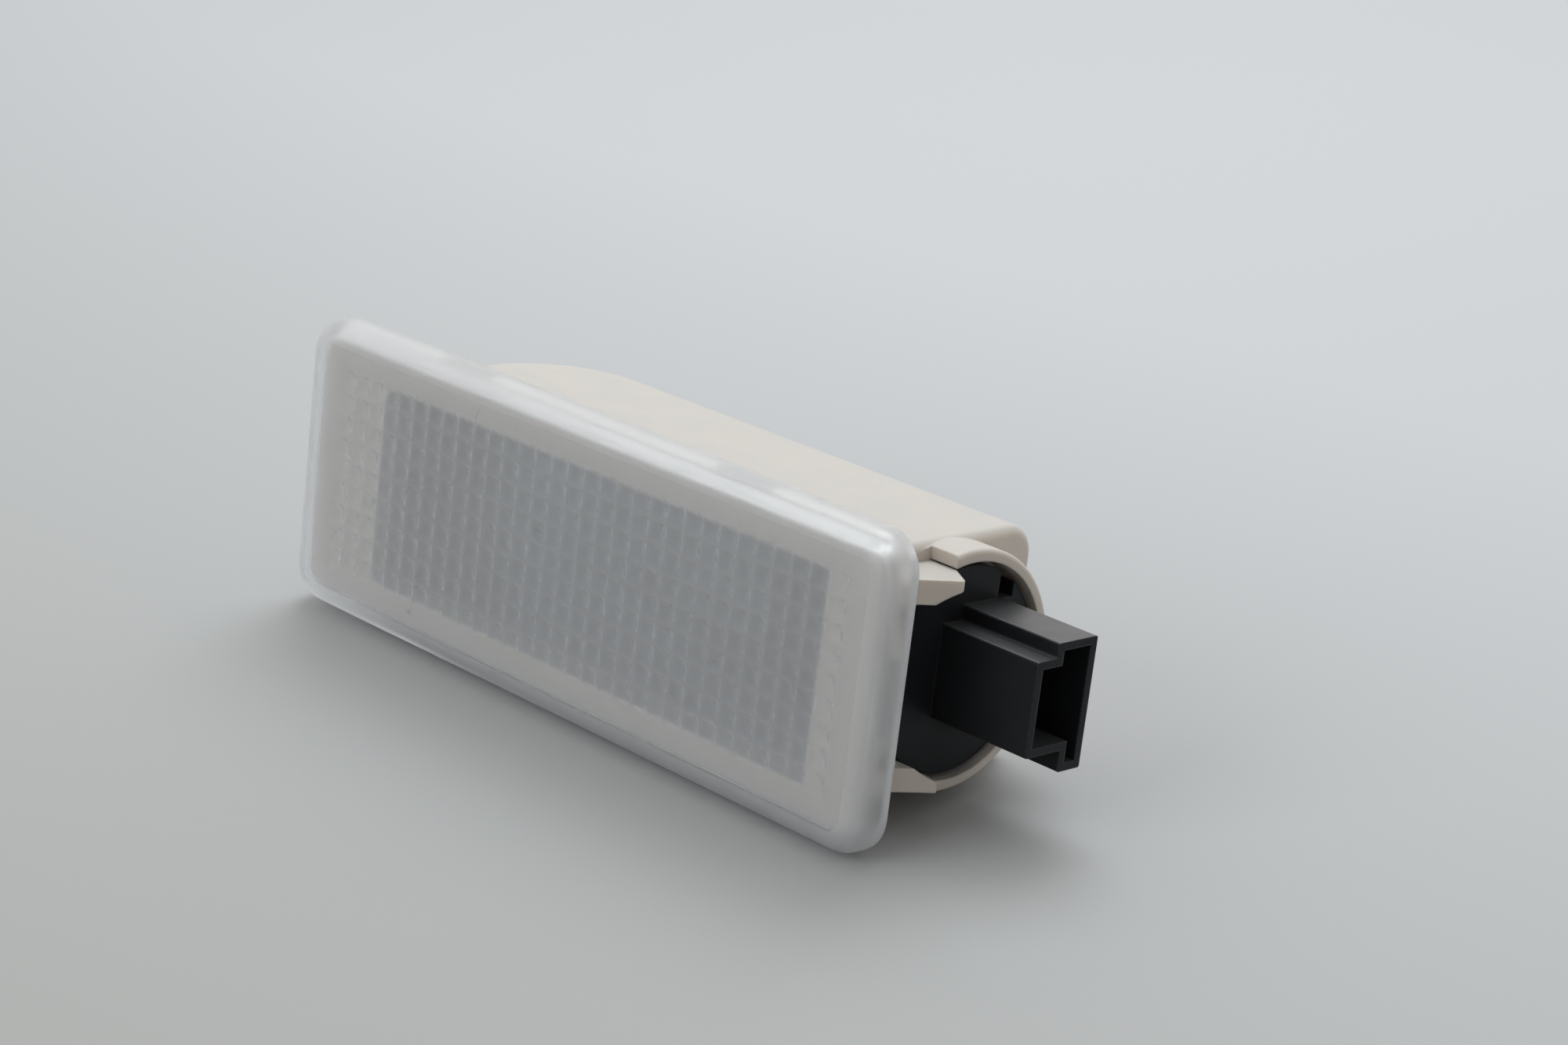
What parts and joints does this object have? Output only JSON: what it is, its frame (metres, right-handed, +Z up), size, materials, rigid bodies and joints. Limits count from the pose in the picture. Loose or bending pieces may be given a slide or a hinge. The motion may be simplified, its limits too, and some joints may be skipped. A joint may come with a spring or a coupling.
{
  "type": "interior light",
  "caption": "Snap-in car interior light: milky pillow-grid lens on a cream housing, with a round black bulb holder and plug socket at one end.",
  "frame": {"origin": "middle of the panel cut-out, on the plane where the rear of the lens rim bears on the panel", "axes": "+X along the lamp towards the plug socket, +Y into the panel, +Z up; the light leaves along -Y"},
  "size_m": [0.0873, 0.0256, 0.029],
  "materials": {
    "lens_milky": "milky, fine matt front",
    "housing_cream": "moulded, satin",
    "reflector_sheet": "bright rolled",
    "spring_steel": "rolled",
    "holder_black": "moulded, satin",
    "terminal_metal": "tinned",
    "bulb_glass": "clear",
    "bulb_wire": "drawn"
  },
  "bodies": {
    "lamp": {"housing": "housing_cream", "lens": "lens_milky", "reflector": "reflector_sheet", "spring_clip": "spring_steel"},
    "holder": {"bulb_holder": "holder_black", "terminal_upper": "terminal_metal", "terminal_lower": "terminal_metal", "bulb_glass": "bulb_glass", "bulb_lead_rear": "bulb_wire", "bulb_lead_front": "bulb_wire", "bulb_filament": "bulb_wire"}
  },
  "joints": [
    {"name": "holder_turn", "type": "hinge", "parent": "lamp", "child": "holder", "pos_m": [0.0368, 0.0106, 0], "axis": [1, 0, 0], "range_deg": [0, 45]}
  ]
}
